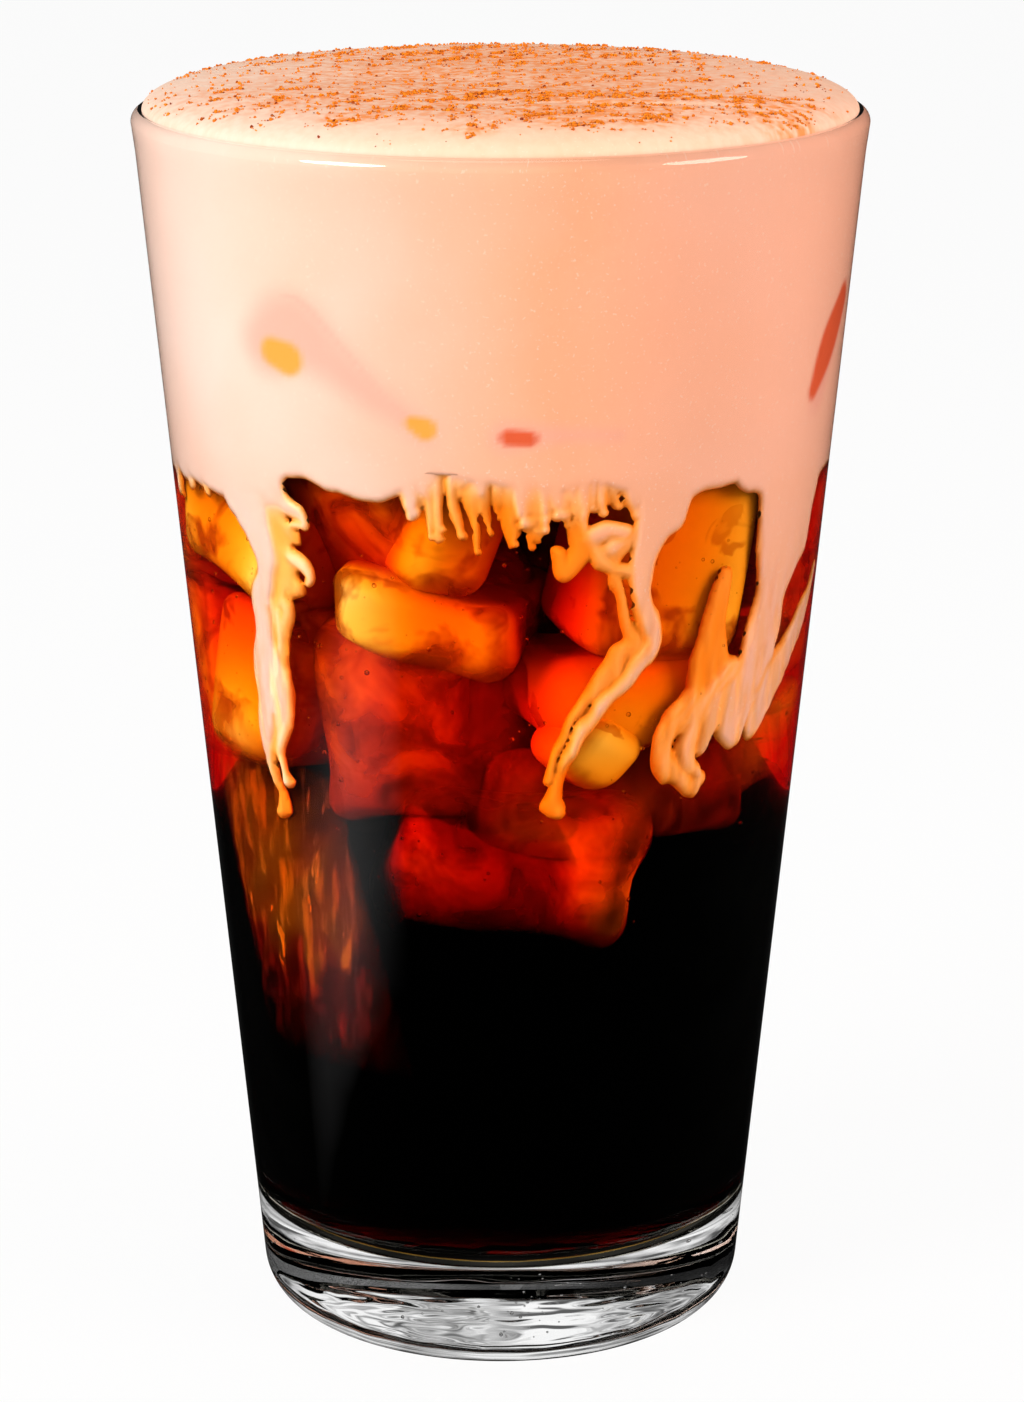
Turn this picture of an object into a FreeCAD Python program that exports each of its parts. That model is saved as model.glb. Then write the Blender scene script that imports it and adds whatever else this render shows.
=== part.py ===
"""Iced cold brew coffee in a tapered pint tumbler, topped with a deep layer of sweet cream foam.

Three pieces, all standing about the Z axis with the origin at the middle of the foot:
  glass_tumbler  thick-based conical tumbler with a fire-rounded lip
  cold_brew      the coffee, which fills the tumbler up to the cream and is cut round its drips
  cream_foam     the cream, from the coffee up to a low dome over the lip, with drips down the wall
Sizes are in millimetres.
"""
import FreeCAD
import Part
import math
import os

Vector = FreeCAD.Vector

# ---- Tumbler ----
GLASS_HEIGHT = 149.0
RIM_DIAMETER = 87.0          # outside, at the widest part of the lip
BASE_DIAMETER = 59.4         # outside, where the wall meets the rounded foot
BASE_THICKNESS = 12.6        # glass under the drink, at the middle
WALL_AT_LIP = 2.3
WALL_AT_BASE = 3.8
LIP_SWELL = 0.3              # how much thicker the fire-rounded lip is than the wall below it
FOOT_CORNER_RADIUS = 6.2
INNER_CORNER_RADIUS = 6.0
FOOT_RING_WIDTH = 4.5        # flat ring that the tumbler stands on
PUNT_DEPTH = 0.7             # shallow hollow inside the ring

# ---- Cream ----
CREAM_DEPTH = 38.0           # from the lip down to the top of the coffee, between drips
DOME_RISE = 3.5              # how far the foam stands above the lip
DOME_FLATNESS = 5.0          # exponent of the dome's profile: larger is flatter with a rounder edge
DOME_SHOULDER = 1.9          # exponent that rounds the dome's edge down on to the lip
DOME_STATIONS = 15

# ---- Drips of cream that hang down the inside of the wall ----
# Each long drip: the angle of its root from the front in degrees (to the right is positive), its
# reach below the cream's underside, its width, the angle its tip swings round the wall, and the
# angle its middle bows out to the side.
LONG_DRIPS = (
    (-43.0, 41.5, 5.6, -4.0, 0.5),
    (23.5, 38.5, 7.5, -14.5, 6.0),
    (55.0, 38.0, 9.0, -15.0, 8.0),
    (104.0, 24.0, 6.0, 6.0, -3.0),
    (141.0, 40.0, 7.5, 9.0, 4.0),
    (192.0, 29.0, 8.0, -8.0, -5.0),
    (238.0, 42.0, 6.0, 5.0, 3.0),
    (277.0, 21.0, 7.0, -6.0, 2.0),
)
LONG_ROUNDNESS = 4.0         # exponent of a drip's taper: small is pointed, large is blunt
SHORT_DRIPS = 26             # small fingers round the wall, uneven in place, length and width
SHORT_REACH = 5.0
SHORT_WIDTH = 5.0
SHORT_ROUNDNESS = 1.6
SHORT_STRAY = 5.0            # angle that a finger may stray from an even spread
DRIP_ROOT = 5.0              # how far each drip's root runs up inside the cream
DRIP_NARROWING = 0.4         # share of its width that a drip loses evenly on its way down
DRIP_DEPTH = 0.75            # how far a drip reaches in from the wall, as a share of half its width
DRIP_TIP = 0.985             # how far along its taper a drip goes before the tip is closed
DRIP_SECTIONS = 9

BASE_RADIUS = BASE_DIAMETER / 2
RIM_RADIUS = RIM_DIAMETER / 2
BEAD_RADIUS = (WALL_AT_LIP + LIP_SWELL) / 2
BEAD_CENTRE_R = RIM_RADIUS - BEAD_RADIUS
BEAD_CENTRE_Z = GLASS_HEIGHT - BEAD_RADIUS
UNDERSIDE_Z = GLASS_HEIGHT - CREAM_DEPTH


def outer_radius(z):
    """Outside of the straight wall at height z: a cone from the foot's corner to the lip."""
    share = (z - FOOT_CORNER_RADIUS) / (GLASS_HEIGHT - FOOT_CORNER_RADIUS)
    return BASE_RADIUS + (RIM_RADIUS - BASE_RADIUS) * share


def inner_radius(z):
    """Inside of the straight wall at height z: the outside less a wall that thickens downwards."""
    share = (z - BASE_THICKNESS) / (GLASS_HEIGHT - BASE_THICKNESS)
    wall = WALL_AT_BASE + (WALL_AT_LIP - WALL_AT_BASE) * share
    return outer_radius(z) - wall


def line(a, b):
    return Part.LineSegment(Vector(a[0], 0, a[1]), Vector(b[0], 0, b[1])).toShape()


def arc(a, middle, b):
    points = [Vector(p[0], 0, p[1]) for p in (a, middle, b)]
    return Part.Arc(*points).toShape()


def revolved(edges):
    """A solid of revolution about Z, from a closed outline of edges in the XZ plane."""
    face = Part.Face(Part.Wire(edges))
    return face.revolve(Vector(0, 0, 0), Vector(0, 0, 1), 360)


def corner(wall_low, wall_high, floor_z, radius):
    """Three points, from floor to wall, of the arc that rounds a floor into a leaning wall.

    wall_low and wall_high are (r, z) on the wall.
    """
    slope = (wall_high[0] - wall_low[0]) / (wall_high[1] - wall_low[1])
    lean = math.atan(slope)
    centre_z = floor_z + radius
    wall_r = wall_low[0] + slope * (centre_z - wall_low[1])
    centre_r = wall_r - radius / math.cos(lean)
    start, end = -math.pi / 2, -lean
    angles = (start, (start + end) / 2, end)
    return [(centre_r + radius * math.cos(a), centre_z + radius * math.sin(a)) for a in angles]


def cavity():
    """The space inside the tumbler, from its floor to the level of the lip's bead."""
    top = (inner_radius(BEAD_CENTRE_Z), BEAD_CENTRE_Z)
    bottom = (inner_radius(BASE_THICKNESS), BASE_THICKNESS)
    floor, middle, wall = corner(bottom, top, BASE_THICKNESS, INNER_CORNER_RADIUS)
    return revolved([
        line((0, BASE_THICKNESS), floor),
        arc(floor, middle, wall),
        line(wall, top),
        line(top, (0, top[1])),
        line((0, top[1]), (0, BASE_THICKNESS)),
    ])


def glass_tumbler(space):
    """The outside turned about Z, less the space inside, with a round bead along the lip."""
    wall_low = (outer_radius(0), 0)
    wall_top = (outer_radius(BEAD_CENTRE_Z), BEAD_CENTRE_Z)
    floor, middle, wall = corner(wall_low, wall_top, 0, FOOT_CORNER_RADIUS)
    ring_r = floor[0] - FOOT_RING_WIDTH
    punt_r = ring_r - 2 * PUNT_DEPTH
    outside = revolved([
        line((0, PUNT_DEPTH), (punt_r, PUNT_DEPTH)),
        line((punt_r, PUNT_DEPTH), (ring_r, 0)),
        line((ring_r, 0), floor),
        arc(floor, middle, wall),
        line(wall, wall_top),
        line(wall_top, (0, BEAD_CENTRE_Z)),
        line((0, BEAD_CENTRE_Z), (0, PUNT_DEPTH)),
    ])
    bead = Part.makeTorus(BEAD_CENTRE_R, BEAD_RADIUS, Vector(0, 0, BEAD_CENTRE_Z), Vector(0, 0, 1))
    return outside.cut(space).fuse(bead).removeSplitter()


def dome_height(share):
    """Height of the foam above the lip, at this share of the way out from the axis."""
    return DOME_RISE * max(0.0, 1 - share ** DOME_FLATNESS) ** (1 / DOME_SHOULDER)


def dome_cap():
    """The foam from inside the lip up to the dome, whose edge meets the crown of the bead."""
    shares = [math.sin(math.pi / 2 * i / (DOME_STATIONS - 1)) for i in range(DOME_STATIONS)]
    points = [Vector(BEAD_CENTRE_R * s, 0, GLASS_HEIGHT + dome_height(s)) for s in shares]
    dome = Part.BSplineCurve()
    dome.interpolate(Points=points, InitialTangent=Vector(1, 0, 0), FinalTangent=Vector(0, 0, -1))
    edge = (points[-1].x, points[-1].z)
    return revolved([
        line((0, BEAD_CENTRE_Z), (BEAD_CENTRE_R, BEAD_CENTRE_Z)),
        line((BEAD_CENTRE_R, BEAD_CENTRE_Z), edge),
        dome.toShape(),
        line((0, points[0].z), (0, BEAD_CENTRE_Z)),
    ])


def drip(angle, reach, width, swing, bow, roundness):
    """A tongue of cream on the wall: a loft through ovals that narrow towards a rounded tip.

    The ovals shrink as a superellipse of the way down, and half of each lies in the tumbler. The
    tongue turns round the wall by its swing times the square of the way down, plus a half sine of
    its bow.
    """
    ovals = []
    for i in range(DRIP_SECTIONS):
        down = math.sin(math.pi / 2 * i / (DRIP_SECTIONS - 1))
        z = UNDERSIDE_Z + DRIP_ROOT - (reach + DRIP_ROOT) * down
        taper = math.sqrt(1 - (DRIP_TIP * down) ** roundness)
        half_width = width / 2 * taper * (1 - DRIP_NARROWING * down)
        on_wall = Vector(0, -inner_radius(z), z)
        oval = Part.Wire(Part.Ellipse(on_wall, half_width, half_width * DRIP_DEPTH).toShape())
        turn = angle + swing * down ** 2 + bow * math.sin(math.pi * down)
        oval.rotate(Vector(0, 0, 0), Vector(0, 0, 1), turn)
        ovals.append(oval)
    return Part.makeLoft(ovals, True)


def drips():
    """All the drips: the long ones as listed, and short fingers spread unevenly round the wall."""
    made = [drip(*each, LONG_ROUNDNESS) for each in LONG_DRIPS]
    for i in range(SHORT_DRIPS):
        angle = 360 * i / SHORT_DRIPS + SHORT_STRAY * math.sin(1.9 * i)
        size = 0.5 + 0.5 * math.sin(2.4 * i) * math.cos(1.1 * i)
        reach = SHORT_REACH * (0.5 + size)
        width = SHORT_WIDTH * (0.7 + 0.6 * size)
        made.append(drip(angle, reach, width, 0, 0, SHORT_ROUNDNESS))
    return made


def build():
    space = cavity()
    glass = glass_tumbler(space)
    tongues = drips()
    hanging = tongues[0].multiFuse(tongues[1:]).common(space)
    below = Part.makeCylinder(RIM_RADIUS, UNDERSIDE_Z)
    cream = space.cut(below).fuse(dome_cap()).cut(glass).fuse(hanging).removeSplitter()
    coffee = space.common(below).cut(hanging)
    return {"glass_tumbler": glass, "cold_brew": coffee, "cream_foam": cream}


os.makedirs("parts", exist_ok=True)
for node, shape in build().items():
    shape.exportStep(os.path.join("parts", node + ".step"))
    print(node, shape.isValid(), len(shape.Solids), round(shape.Volume / 1000, 1), "ml")
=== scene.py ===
"""Iced cold brew coffee with sweet cream foam in a pint tumbler: the looks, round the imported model.

Shape functions work in millimetres in the model's own frame, Z up and the front towards -Y, and
make_piece turns them into metres. Angles round the glass are counted from the front, to the right.
"""
import math

import bpy
import numpy as np
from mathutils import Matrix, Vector


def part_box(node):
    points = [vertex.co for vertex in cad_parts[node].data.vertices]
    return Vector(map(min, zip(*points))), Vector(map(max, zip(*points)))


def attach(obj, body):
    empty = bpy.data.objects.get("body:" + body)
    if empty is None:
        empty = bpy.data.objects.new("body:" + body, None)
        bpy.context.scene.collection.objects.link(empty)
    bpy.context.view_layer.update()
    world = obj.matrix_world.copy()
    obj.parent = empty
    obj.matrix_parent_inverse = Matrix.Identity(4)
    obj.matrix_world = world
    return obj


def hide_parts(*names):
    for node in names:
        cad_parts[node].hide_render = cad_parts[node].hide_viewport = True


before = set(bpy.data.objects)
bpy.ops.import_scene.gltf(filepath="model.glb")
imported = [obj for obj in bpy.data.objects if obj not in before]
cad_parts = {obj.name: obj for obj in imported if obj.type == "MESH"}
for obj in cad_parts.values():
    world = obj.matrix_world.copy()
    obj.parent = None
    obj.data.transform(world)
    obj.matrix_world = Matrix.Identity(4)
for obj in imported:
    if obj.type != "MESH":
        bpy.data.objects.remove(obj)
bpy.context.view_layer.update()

MM = 0.001

# ---- Sizes shared with the model, in millimetres ----
GLASS_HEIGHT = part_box("glass_tumbler")[1].z / MM
RIM_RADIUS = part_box("glass_tumbler")[1].x / MM
BASE_RADIUS = 29.7
BASE_THICKNESS = 12.6
WALL_AT_LIP = 2.3
WALL_AT_BASE = 3.8
LIP_SWELL = 0.3
FOOT_CORNER = 6.2
INNER_CORNER = 6.0
FOOT_RING_WIDTH = 4.5
PUNT_DEPTH = 0.7
UNDERSIDE_Z = GLASS_HEIGHT - 36.0
DOME_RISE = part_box("cream_foam")[1].z / MM - GLASS_HEIGHT

# ---- How far each filling reaches into the wall, so that no air shows between them ----
COFFEE_INTO_WALL = 0.10
CREAM_INTO_WALL = 0.20
VEIL_INTO_WALL = 0.30

# ---- The bead that ends the lip ----
BEAD_RADIUS = (WALL_AT_LIP + LIP_SWELL) / 2
BEAD_R = RIM_RADIUS - BEAD_RADIUS
BEAD_Z = GLASS_HEIGHT - BEAD_RADIUS

# ---- Glass and coffee ----
ROUND_THE_GLASS = 256
AIR_SEEDS = 90
COFFEE_TOP = UNDERSIDE_Z + 1.5
AIR_BUBBLES = 700
DEPTHS_CLEARANCE = 0.2
DEPTHS_FOOT_TOP = 46.0

# ---- Ice: roundness of the edges, melt of the faces, lean of the sides, skin and cloudy heart ----
ICE_ROUNDING = 3.1
ICE_MELT = 0.55
ICE_LEAN = 0.13
ICE_SKIN_SHARE = 0.985
ICE_HEART_SHARE = 0.66
ICE_HEART_CLOUD = 0.5

# ---- Cream on the wall ----
STREAM_LOW, STREAM_HIGH = 66.0, 115.5
STREAM_CELL = 0.36
STREAM_THICKNESS = 1.4
MEETING_SOFTNESS = 0.35
WISP_CELLS = 90
WISP_THICKNESS = 0.25

# ---- Cinnamon ----
GRAIN_TRIES = 150000
GRAIN_SINK = 0.35
GRAIN_SMALLEST, GRAIN_SPREAD = 0.085, 0.15

# ---- Camera, in metres and degrees ----
CAMERA_PLACE = (0, -0.5278, 0.2212)
CAMERA_TILT_DOWN = 15.355
CAMERA_LENS = 115.06
CAMERA_SHIFT = 0.0082


# =========================== building meshes ===========================

def outer_radius(z):
    """Outside of the wall: a cone from the foot's corner up to the lip."""
    share = (z - FOOT_CORNER) / (GLASS_HEIGHT - FOOT_CORNER)
    return BASE_RADIUS + (RIM_RADIUS - BASE_RADIUS) * share


def inner_radius(z):
    """Inside of the wall: the outside less a wall that thickens evenly downwards."""
    share = (z - BASE_THICKNESS) / (GLASS_HEIGHT - BASE_THICKNESS)
    return outer_radius(z) - WALL_AT_BASE - (WALL_AT_LIP - WALL_AT_BASE) * share


def around(radius, degrees, z):
    """Points at a radius, an angle from the front and a height, with one row for each point."""
    angle = np.radians(degrees)
    return np.stack(np.broadcast_arrays(radius * np.sin(angle), -radius * np.cos(angle), z), axis=-1)


def arc(centre, radius, start, end, count):
    """Profile points (r, z) along an arc from one angle to another, in degrees."""
    angle = np.radians(np.linspace(start, end, count))
    return np.stack([centre[0] + radius * np.cos(angle), centre[1] + radius * np.sin(angle)], axis=1)


def straight(start, end, count):
    """Profile points (r, z) along a straight line, without its last point."""
    share = np.arange(count)[:, None] / count
    return np.array(start) * (1 - share) + np.array(end) * share


def waves(u, v, seed, size, count=18):
    """Smooth unevenness of about -1 to 1: a sum of sine waves in random directions.

    Along u each wave fits a whole number of times into 360, so a surface round the glass closes.
    size is the usual wavelength, in the units of u and v.
    """
    rng = np.random.default_rng(seed)
    total = np.zeros(np.broadcast(u, v).shape)
    for _ in range(count):
        turn = rng.uniform(0, 2 * np.pi)
        wavelength = size * rng.uniform(0.6, 1.8)
        turns = np.round(360 / wavelength * np.cos(turn))
        rise = np.sin(turn) / wavelength
        total += np.sin(2 * np.pi * (turns * u / 360 + rise * v) + rng.uniform(0, 2 * np.pi))
    return total / math.sqrt(count)


def make_piece(name, points, faces, material, replaces=(), flat=False):
    """A mesh piece from points in millimetres and a list of arrays of faces."""
    mesh = bpy.data.meshes.new(name)
    mesh.from_pydata((np.asarray(points) * MM).tolist(), [], [f for part in faces for f in part.tolist()])
    mesh.polygons.foreach_set("use_smooth", np.full(len(mesh.polygons), not flat))
    mesh.materials.append(material)
    mesh.update()
    piece = bpy.data.objects.new(name, mesh)
    bpy.context.scene.collection.objects.link(piece)
    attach(piece, "root")
    if replaces:
        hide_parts(*replaces)
    return piece


def add_attribute(piece, name, values):
    """A number at each point of a piece, for its material to read."""
    layer = piece.data.attributes.new(name, "FLOAT", "POINT")
    layer.data.foreach_set("value", np.asarray(values, np.float32))


def without_spares(faces, count):
    """Which of count points the faces use, and the same faces numbered by those points alone."""
    used = np.unique(np.concatenate([part.ravel() for part in faces]))
    renumber = np.zeros(count, int)
    renumber[used] = np.arange(len(used))
    return used, [renumber[part] for part in faces]


def closed_rings(rings):
    """Points and faces of rings stacked from one pole to the other.

    rings is an array (rings, points round, 3) whose first and last rings have shrunk to a point.
    """
    rows, columns = rings.shape[0] - 2, rings.shape[1]
    points = np.concatenate([rings[0, :1], rings[1:-1].reshape(-1, 3), rings[-1, :1]])
    here = 1 + np.arange(rows * columns).reshape(rows, columns)
    after = np.roll(here, -1, axis=1)
    quads = np.stack([here[:-1], after[:-1], after[1:], here[1:]], axis=-1).reshape(-1, 4)
    first = np.stack([np.zeros(columns, int), after[0], here[0]], axis=-1)
    last = np.stack([here[-1], after[-1], np.full(columns, len(points) - 1)], axis=-1)
    return points, [quads, first, last]


def turned(profile, columns):
    """A profile of (r, z) points carried round the axis, as closed rings."""
    degrees = np.arange(columns) * 360 / columns
    return around(profile[:, :1], degrees[None, :], profile[:, 1:])


def icosahedron():
    """A ball of radius 1 with 20 sides, from the corners of three golden rectangles."""
    golden = (1 + math.sqrt(5)) / 2
    rectangle = [(0, a, b * golden) for a in (1, -1) for b in (1, -1)]
    corners = np.array([np.roll(corner, turn) for turn in range(3) for corner in rectangle])
    corners = corners / np.linalg.norm(corners[0])
    apart = np.linalg.norm(corners[:, None] - corners, axis=-1)
    joined = (apart > 0.1) & (apart < 1.1)
    i, j, k = np.nonzero(joined[:, :, None] & joined[:, None, :] & joined[None, :, :])
    sides = np.stack([i, j, k], axis=1)[(i < j) & (j < k)]
    a, b, c = corners[sides].transpose(1, 0, 2)
    inward = np.einsum("ij,ij->i", np.cross(b - a, c - a), a + b + c) < 0
    sides[inward] = sides[inward][:, ::-1]
    return corners, sides


def ball():
    """A ball of radius 1 with 80 sides: each side of the first is cut in four and rounded."""
    corners, sides = icosahedron()
    a, b, c = corners[sides].transpose(1, 0, 2)
    ab, bc, ca = (a + b) / 2, (b + c) / 2, (c + a) / 2
    quarters = (a, ab, ca), (ab, b, bc), (ca, bc, c), (ab, bc, ca)
    split = np.concatenate([np.stack(quarter, axis=1) for quarter in quarters])
    split = split / np.linalg.norm(split, axis=-1, keepdims=True)
    points, sides = np.unique(np.round(split.reshape(-1, 3), 6), axis=0, return_inverse=True)
    return points, sides.reshape(-1, 3)


def hollow_balls(middles, radius):
    """Points and faces of balls of air, whose faces look into them."""
    unit, sides = ball()
    points = middles[:, None] + unit[None] * radius[:, None, None]
    sides = sides[None, :, ::-1] + len(unit) * np.arange(len(middles))[:, None, None]
    return points.reshape(-1, 3), sides.reshape(-1, 3)


# =========================== materials ===========================

def new_material(name):
    """An empty node material, with its tree and its output."""
    material = bpy.data.materials.new(name)
    material.use_nodes = True
    tree = material.node_tree
    tree.nodes.clear()
    return material, tree, tree.nodes.new("ShaderNodeOutputMaterial")


def principled(tree, **values):
    """A Principled shader with plain values on its own sockets, named with spaces as underscores."""
    shader = tree.nodes.new("ShaderNodeBsdfPrincipled")
    for name, value in values.items():
        shader.inputs[name.replace("_", " ")].default_value = value
    return shader


def mixed_shaders(tree, share, first, second):
    """Two shaders mixed by a share."""
    mix = tree.nodes.new("ShaderNodeMixShader")
    for source, socket in ((share, mix.inputs["Fac"]), (first, mix.inputs[1]), (second, mix.inputs[2])):
        tree.links.new(source, socket)
    return mix.outputs[0]


def clear_to_shadow_rays(tree, shader, output):
    """Lets lamps shine straight through: the shader, but see-through to a shadow ray."""
    shadow = tree.nodes.new("ShaderNodeLightPath").outputs["Is Shadow Ray"]
    clear = tree.nodes.new("ShaderNodeBsdfTransparent").outputs[0]
    tree.links.new(mixed_shaders(tree, shadow, shader.outputs[0], clear), output.inputs["Surface"])


def node(tree, kind, **values):
    """A shader node with plain values on its own sockets, named with spaces as underscores."""
    made = tree.nodes.new("ShaderNode" + kind)
    for name, value in values.items():
        made.inputs[name.replace("_", " ")].default_value = value
    return made


def attribute(tree, name):
    """The number that a piece carries at each of its points."""
    made = tree.nodes.new("ShaderNodeAttribute")
    made.attribute_name = name
    return made.outputs["Fac"]


def spread(tree, value, low, high, start=0.0, end=1.0):
    """A value carried evenly from one range to another, and held at its ends."""
    made = node(tree, "MapRange", From_Min=low, From_Max=high, To_Min=start, To_Max=end)
    tree.links.new(value, made.inputs["Value"])
    return made.outputs["Result"]


def maths(tree, operation, *values):
    """One step of arithmetic on sockets and plain numbers."""
    made = tree.nodes.new("ShaderNodeMath")
    made.operation = operation
    for socket, value in zip(made.inputs, values):
        if isinstance(value, (int, float)):
            socket.default_value = value
        else:
            tree.links.new(value, socket)
    return made.outputs[0]


def blended(tree, share, first, second):
    """Two colours mixed by a share. A colour is a socket or three plain numbers."""
    made = tree.nodes.new("ShaderNodeMix")
    made.data_type = "RGBA"
    if isinstance(share, float):
        made.inputs["Factor"].default_value = share
    else:
        tree.links.new(share, made.inputs["Factor"])
    for socket, colour in ((made.inputs["A"], first), (made.inputs["B"], second)):
        if isinstance(colour, tuple):
            socket.default_value = (*colour, 1)
        else:
            tree.links.new(colour, socket)
    return made.outputs["Result"]


def patches_group():
    """Cloudy patches, for every material: noise on the piece's own place, carried to a mask.

    The place is squeezed by Stretch, Scale is the number of clouds to the metre, and the noise
    between Low and High is carried evenly to between Start and End, and held there.
    """
    group = bpy.data.node_groups.new("cloudy_patches", "ShaderNodeTree")
    group.interface.new_socket("Stretch", in_out="INPUT", socket_type="NodeSocketVector")
    for name in ("Scale", "Detail", "Distortion", "Low", "High", "Start", "End"):
        group.interface.new_socket(name, in_out="INPUT", socket_type="NodeSocketFloat")
    group.interface.new_socket("Mask", in_out="OUTPUT", socket_type="NodeSocketFloat")
    given = group.nodes.new("NodeGroupInput").outputs
    result = group.nodes.new("NodeGroupOutput").inputs
    place = group.nodes.new("ShaderNodeTexCoord").outputs
    turn, noise, mask = node(group, "Mapping"), node(group, "TexNoise"), node(group, "MapRange")
    for source, socket in (
            (place["Object"], turn.inputs["Vector"]), (given["Stretch"], turn.inputs["Scale"]),
            (turn.outputs["Vector"], noise.inputs["Vector"]), (given["Scale"], noise.inputs["Scale"]),
            (given["Detail"], noise.inputs["Detail"]), (given["Distortion"], noise.inputs["Distortion"]),
            (noise.outputs["Fac"], mask.inputs["Value"]), (given["Low"], mask.inputs["From Min"]),
            (given["High"], mask.inputs["From Max"]), (given["Start"], mask.inputs["To Min"]),
            (given["End"], mask.inputs["To Max"]), (mask.outputs["Result"], result["Mask"])):
        group.links.new(source, socket)
    return group


def patches(tree, scale, detail, span=(0.0, 1.0), onto=(0.0, 1.0), stretch=(1, 1, 1), distortion=0.0):
    """The shared group placed in a material, with the material's own values."""
    made = tree.nodes.new("ShaderNodeGroup")
    made.node_tree = PATCHES
    for name, value in (("Stretch", stretch), ("Scale", scale), ("Detail", detail),
                        ("Distortion", distortion), ("Low", span[0]), ("High", span[1]),
                        ("Start", onto[0]), ("End", onto[1])):
        made.inputs[name].default_value = value
    return made.outputs["Mask"]


def glass_material():
    """Clear glass, wavy under the foot. Where it is wet inside, it hardly mirrors."""
    material, tree, output = new_material("clear_glass")
    shader = principled(tree, Base_Color=(1, 1, 1, 1), Roughness=0.0, IOR=1.5, Transmission_Weight=1.0)
    tree.links.new(attribute(tree, "dry"), shader.inputs["Specular Tint"])
    bump = node(tree, "Bump", Distance=0.001)
    tree.links.new(spread(tree, attribute(tree, "foot"), 0, 1, 0.01, 0.7), bump.inputs["Strength"])
    tree.links.new(patches(tree, 150, 1, stretch=(1, 1, 0.7)), bump.inputs["Height"])
    tree.links.new(bump.outputs[0], shader.inputs["Normal"])
    clear_to_shadow_rays(tree, shader, output)
    return material


def liquid_material(name, ior, colour, density):
    """Clear liquid that takes out light: colour is what is left, density how fast, per metre."""
    material, tree, output = new_material(name)
    shader = principled(tree, Base_Color=(1, 1, 1, 1), Roughness=0.0, IOR=ior, Transmission_Weight=1.0,
                        Specular_Tint=(0, 0, 0, 1))
    tree.links.new(attribute(tree, "skin"), shader.inputs["Alpha"])
    clear_to_shadow_rays(tree, shader, output)
    depth = node(tree, "VolumeAbsorption", Color=(*colour, 1), Density=density)
    tree.links.new(depth.outputs[0], output.inputs["Volume"])
    return material


def cream_material():
    """Sweet cream foam: paler at the left and more peach at the right, partly its own tint and partly
    painted light and warm shade; clouded, with fine pores, marks, dust and thin edges.
    """
    material, tree, output = new_material("sweet_cream")
    shader = principled(tree, Roughness=0.55, IOR=1.4)
    place = tree.nodes.new("ShaderNodeTexCoord")
    split = tree.nodes.new("ShaderNodeSeparateXYZ")
    tree.links.new(place.outputs["Object"], split.inputs[0])
    clouds = patches(tree, 38, 2)
    # Partly the cream's own tint and partly painted light and shade: paler towards the left, where the key
    # lamp shines, and more peach towards the right.
    side = maths(tree, "ADD", split.outputs["X"], maths(tree, "MULTIPLY_ADD", clouds, 0.02, -0.01))
    colour = blended(tree, spread(tree, side, -0.034, 0.006), (1.0, 0.73, 0.61), (0.97, 0.455, 0.26))
    colour = blended(tree, spread(tree, clouds, 0.35, 0.75, 0.0, 0.28), colour, (0.97, 0.47, 0.27))
    # More of the same painted warm shade, with the cream's own peach tint, at the far right.
    colour = blended(tree, spread(tree, side, 0.008, 0.03), colour, (1.0, 0.53, 0.37))
    stream = maths(tree, "MULTIPLY", attribute(tree, "stream"),
                   patches(tree, 420, 2, (0.40, 0.62), (0.05, 0.75), stretch=(1, 1, 0.22)))
    colour = blended(tree, stream, colour, (1.0, 0.42, 0.10))
    over_lip = spread(tree, split.outputs["Z"], 0.1475, 0.1495, 0.0, 0.45)
    colour = blended(tree, over_lip, colour, (1.0, 0.79, 0.60))
    colour = blended(tree, patches(tree, 2600, 1, (0.66, 0.74), (0.0, 0.35)), colour, (1.0, 0.80, 0.66))
    for name, strength, tint in (("pink", 0.7, (0.92, 0.42, 0.32)), ("yellow", 1.0, (0.93, 0.40, 0.05)),
                                 ("red", 1.0, (0.78, 0.11, 0.03))):
        colour = blended(tree, maths(tree, "MULTIPLY", attribute(tree, name), strength), colour, tint)
    powder = maths(tree, "MULTIPLY", patches(tree, 900, 2, (0.36, 0.66), (0.15, 1.0), stretch=(1, 1, 0.2)),
                   spread(tree, attribute(tree, "dust"), 0.02, 0.6, 0.0, 0.9))
    colour = blended(tree, powder, colour, (0.99, 0.27, 0.035))
    colour = blended(tree, maths(tree, "MULTIPLY", attribute(tree, "thin"), 0.8), colour, (1.0, 0.36, 0.05))
    tree.links.new(colour, shader.inputs["Base Color"])
    bump = node(tree, "Bump", Strength=0.12, Distance=0.0004)
    tree.links.new(patches(tree, 700, 1), bump.inputs["Height"])
    tree.links.new(bump.outputs[0], shader.inputs["Normal"])
    tree.links.new(shader.outputs[0], output.inputs["Surface"])
    return material


def cinnamon_material():
    """Ground cinnamon: each grain has its own tone, from orange brown to dark red brown."""
    material, tree, output = new_material("ground_cinnamon")
    shader = principled(tree, Roughness=0.9, IOR=1.3)
    tone = attribute(tree, "tone")
    colour = blended(tree, spread(tree, tone, 0.0, 0.75), (0.95, 0.29, 0.010), (0.76, 0.18, 0.006))
    colour = blended(tree, spread(tree, tone, 0.88, 0.98), colour, (0.26, 0.03, 0.004))
    colour = blended(tree, patches(tree, 9000, 2, (0.35, 0.65), (0.0, 0.25)), colour, (0.35, 0.07, 0.01))
    tree.links.new(colour, shader.inputs["Base Color"])
    tree.links.new(shader.outputs[0], output.inputs["Surface"])
    return material


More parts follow.
